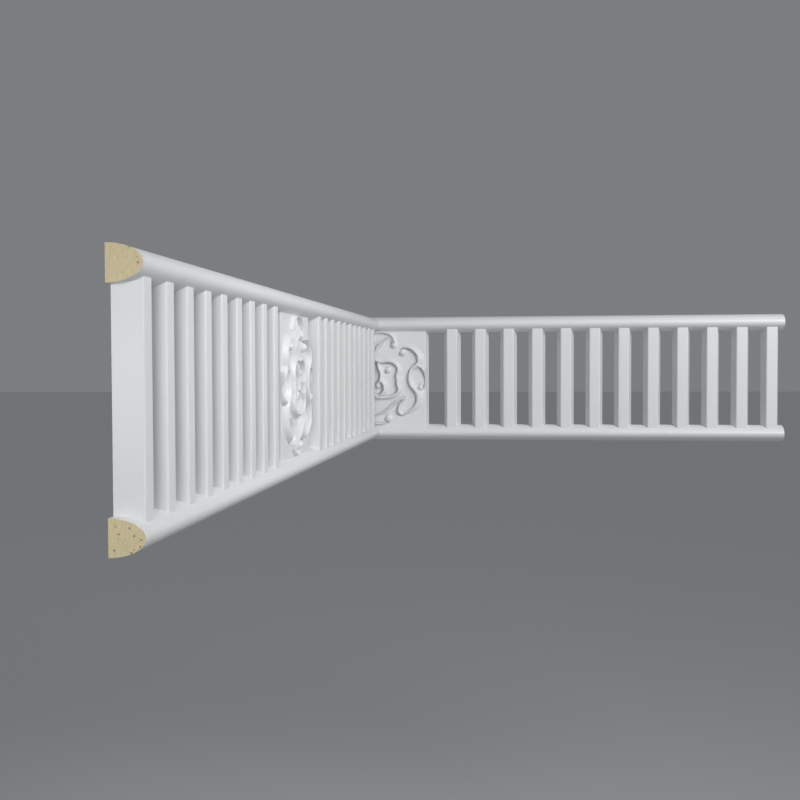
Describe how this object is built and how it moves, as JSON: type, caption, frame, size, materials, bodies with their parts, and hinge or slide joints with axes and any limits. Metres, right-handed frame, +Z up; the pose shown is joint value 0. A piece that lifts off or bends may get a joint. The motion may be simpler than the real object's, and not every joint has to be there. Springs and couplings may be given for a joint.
{
  "type": "pierced moulding",
  "caption": "Pierced wall moulding with half-oval rails, tapered slats between them and scroll-carved plaques, mitred round an inside corner.",
  "frame": {"origin": "middle of the back face of the left length's plaque, on the left wall", "axes": "+Y along the left length towards the inside corner, +X out of the left wall and along the right length, +Z up the wall"},
  "size_m": [0.496, 0.835, 0.15],
  "materials": {
    "white_coating": "satin white coating on rigid foam"
  },
  "bodies": {
    "root": {"left_length": "white_coating", "right_length": "white_coating"}
  },
  "joints": []
}
